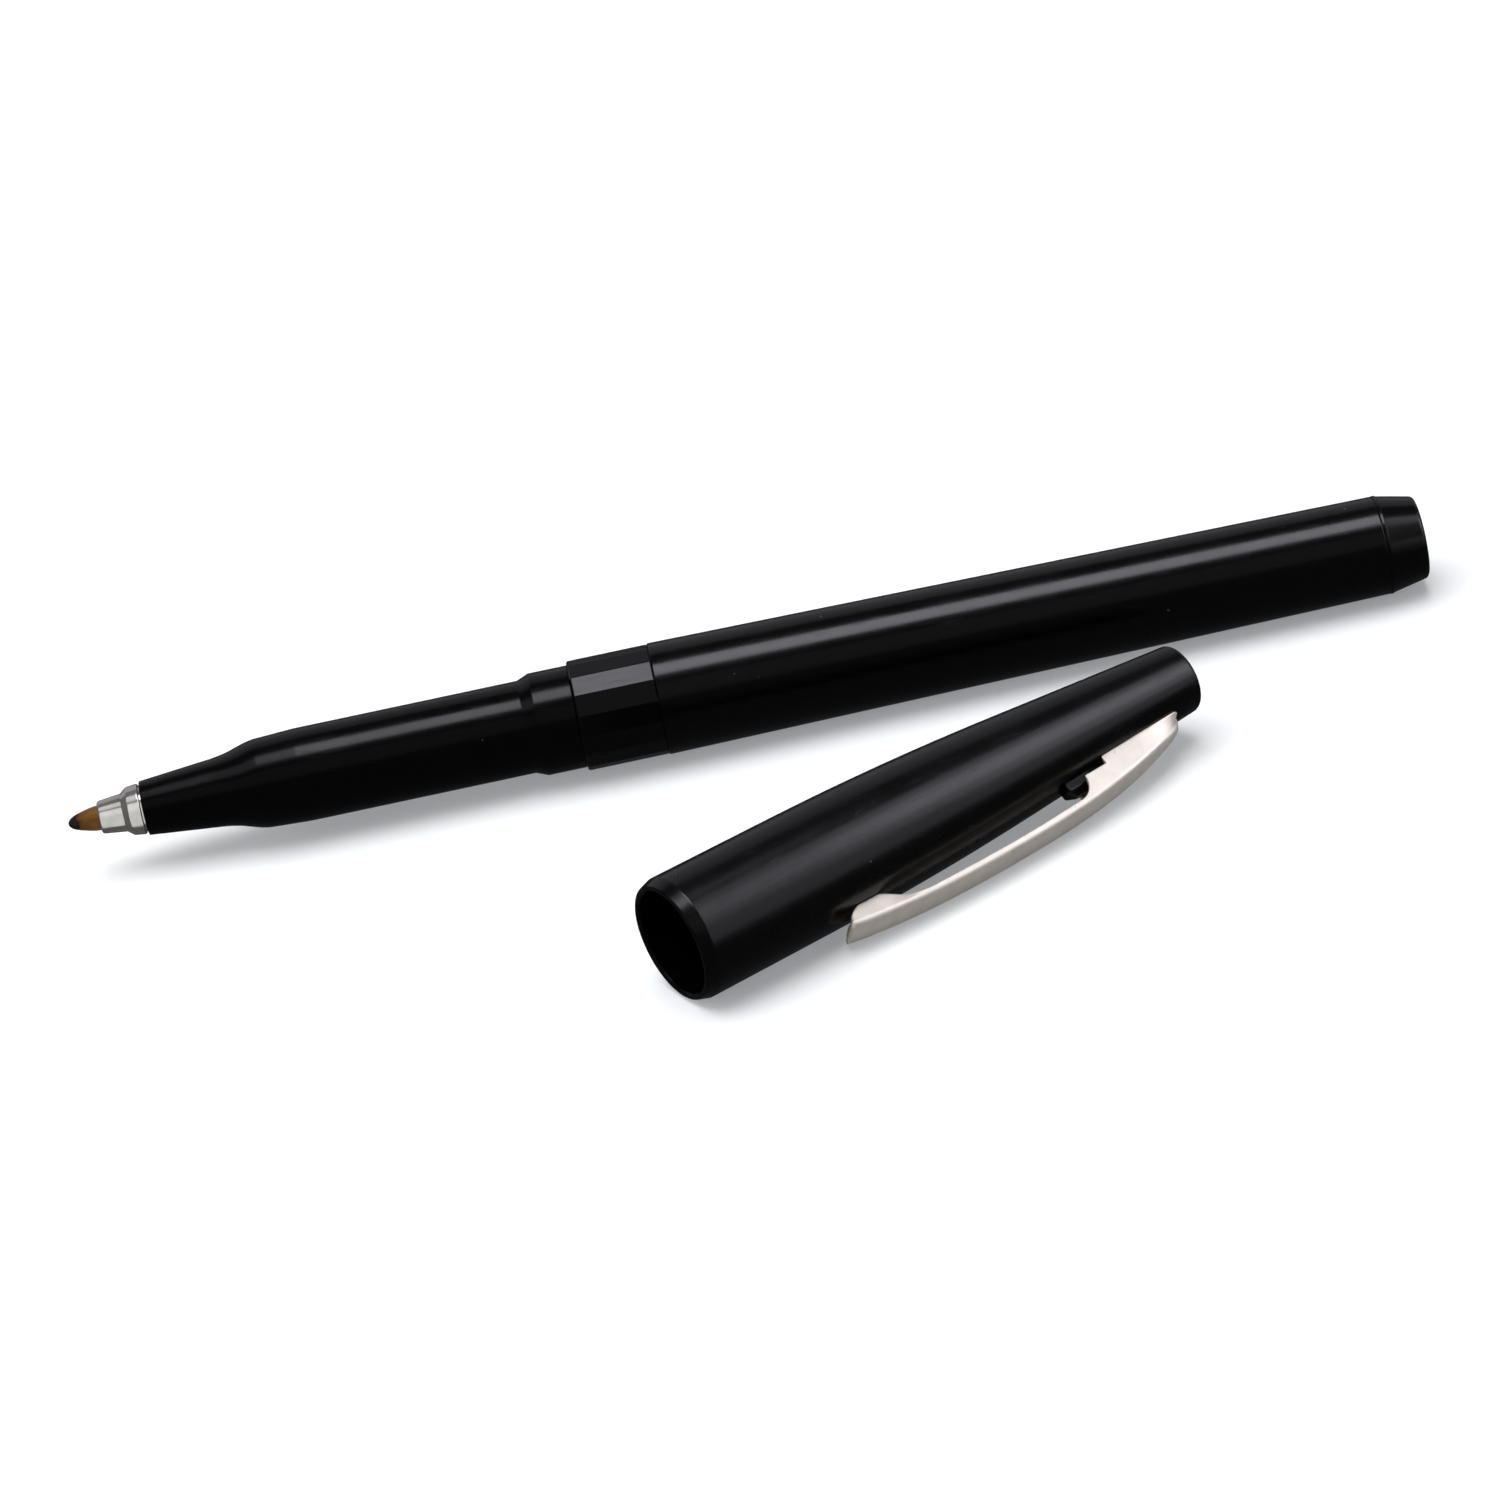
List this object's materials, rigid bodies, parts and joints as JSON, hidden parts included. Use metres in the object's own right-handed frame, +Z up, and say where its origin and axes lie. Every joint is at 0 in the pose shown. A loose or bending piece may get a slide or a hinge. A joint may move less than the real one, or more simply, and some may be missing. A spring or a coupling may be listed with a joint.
{
  "type": "felt tip marker",
  "caption": "Slim black felt tip marker lying uncapped: porous amber nib in a metal ferrule, tapered barrel, and its cap with a sprung metal pocket clip beside it.",
  "frame": {"origin": "on the surface the pen and cap lie on, under the middle of the whole layout", "axes": "+Z up; +X along the pen from nib to tail, seen from above; the cap lies on the -Y side"},
  "size_m": [0.1312, 0.0548, 0.0118],
  "materials": {
    "black_gloss": "glossy moulded plastic with faint handling scuffs",
    "cap_black": "glossy moulded plastic with dust and fine scuffs",
    "bright_metal": "bright plated metal, lightly worn",
    "clip_metal": "satin stamped metal with fine lengthwise grain",
    "nib_fibre": "porous amber fibre, ink stained to near black at the point",
    "white_plastic": "plain moulded plastic",
    "reservoir_fibre": "ink-soaked fibre",
    "clear_film": "thin clear film"
  },
  "bodies": {
    "pen": {"barrel": "black_gloss", "tail_plug": "black_gloss", "collar": "black_gloss", "section": "black_gloss", "ferrule": "bright_metal", "nib": "nib_fibre", "nib_bush": "white_plastic", "reservoir_fibre": "reservoir_fibre", "reservoir_film": "clear_film"},
    "cap": {"cap_shell": "cap_black", "cap_liner": "white_plastic"},
    "clip": {"clip": "clip_metal"}
  },
  "joints": [
    {"name": "cap_slide", "type": "slide", "parent": "pen", "child": "cap", "axis": [-0.8867, -0.4624, 0], "range_m": [0, 0.055]},
    {"name": "clip_flex", "type": "hinge", "parent": "cap", "child": "clip", "pos_m": [0.03695, -0.00039, 0.00359], "axis": [0.2427, -0.4543, 0.8572], "range_deg": [0, 4], "stiffness_Nm_per_rad": 3}
  ]
}
